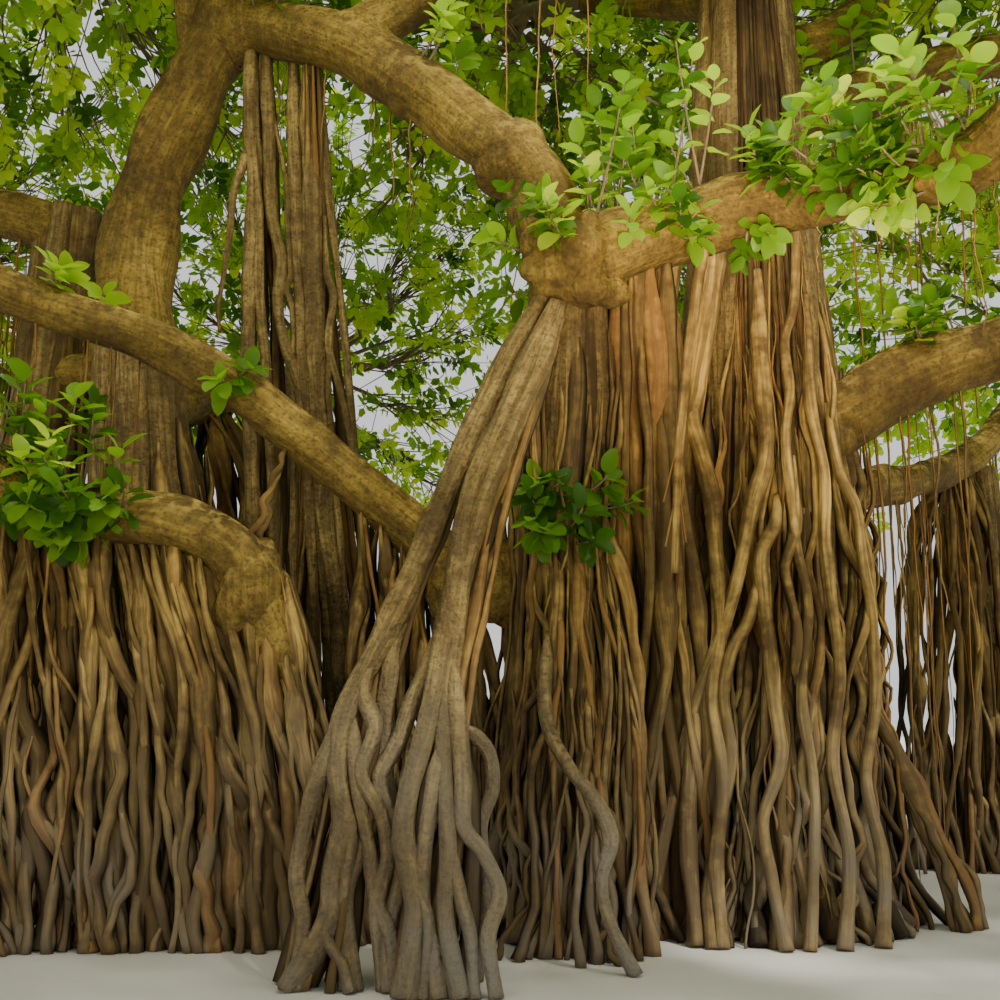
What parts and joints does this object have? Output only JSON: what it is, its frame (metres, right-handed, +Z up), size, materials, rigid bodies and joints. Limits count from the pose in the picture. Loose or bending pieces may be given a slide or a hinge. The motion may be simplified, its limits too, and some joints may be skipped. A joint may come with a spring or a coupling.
{
  "type": "banyan tree",
  "caption": "Old banyan: fused trunks, arched boughs, prop roots and curtains of aerial roots under a broad crown of masses of foliage.",
  "frame": {"origin": "centre of the flat cut under the main trunk, at ground level", "axes": "+Z up, +X towards the right side of the tree as the picture sees it, +Y away from the viewer"},
  "size_m": [25.4956, 22.5195, 15.3478],
  "materials": {
    "bark": "smooth warm grey-tan fig bark with faint rings and dark specks, matte",
    "root": "sinewy grey-tan aerial roots, paler near the ground, with dark gaps between them, matte",
    "foliage": "leathery oval leaves, dark to yellow-green, with a soft gloss"
  },
  "bodies": {
    "root": {"arch_bough": "bark", "centre_curtain": "root", "centre_trunk": "root", "foliage_outer_00": "foliage", "foliage_outer_01": "foliage", "foliage_outer_02": "foliage", "foliage_outer_03": "foliage", "foliage_outer_04": "foliage", "foliage_outer_05": "foliage", "foliage_outer_06": "foliage", "foliage_outer_07": "foliage", "foliage_outer_08": "foliage", "foliage_outer_09": "foliage", "foliage_top_00": "foliage", "foliage_upper_00": "foliage", "foliage_upper_01": "foliage", "foliage_upper_02": "foliage", "foliage_upper_03": "foliage", "foliage_upper_04": "foliage", "fork_back_bough": "bark", "fork_top_bough": "bark", "front_sprig": "foliage", "graft_bough": "bark", "hanging_root": "root", "inner_curtain": "root", "knot_sprig": "foliage", "leaning_root": "root", "left_back_bough": "bark", "left_hanging_pillar": "root", "left_pillar": "root", "left_rear_bough": "bark", "left_riser": "bark", "left_sprig": "foliage", "left_trunk": "root", "long_left_bough": "bark", "low_bough_root": "root", "low_left_bough": "bark", "low_right_bough": "bark", "main_trunk": "root", "middle_curtain": "root", "old_left_trunk": "root", "outer_curtain": "root", "pale_root": "root", "prop_left_leg": "root", "prop_right_leg": "root", "rear_left_bough": "bark", "rear_left_pillar": "root", "rear_right_bough": "bark", "rear_right_pillar": "root", "right_bough": "bark", "right_front_bough": "bark", "right_hanging_pillar": "root", "right_pillar": "root", "riser_branch": "bark", "tie_root": "root", "top_right_bough": "bark", "upper_left_bough": "bark", "upper_right_bough": "bark"}
  },
  "joints": []
}
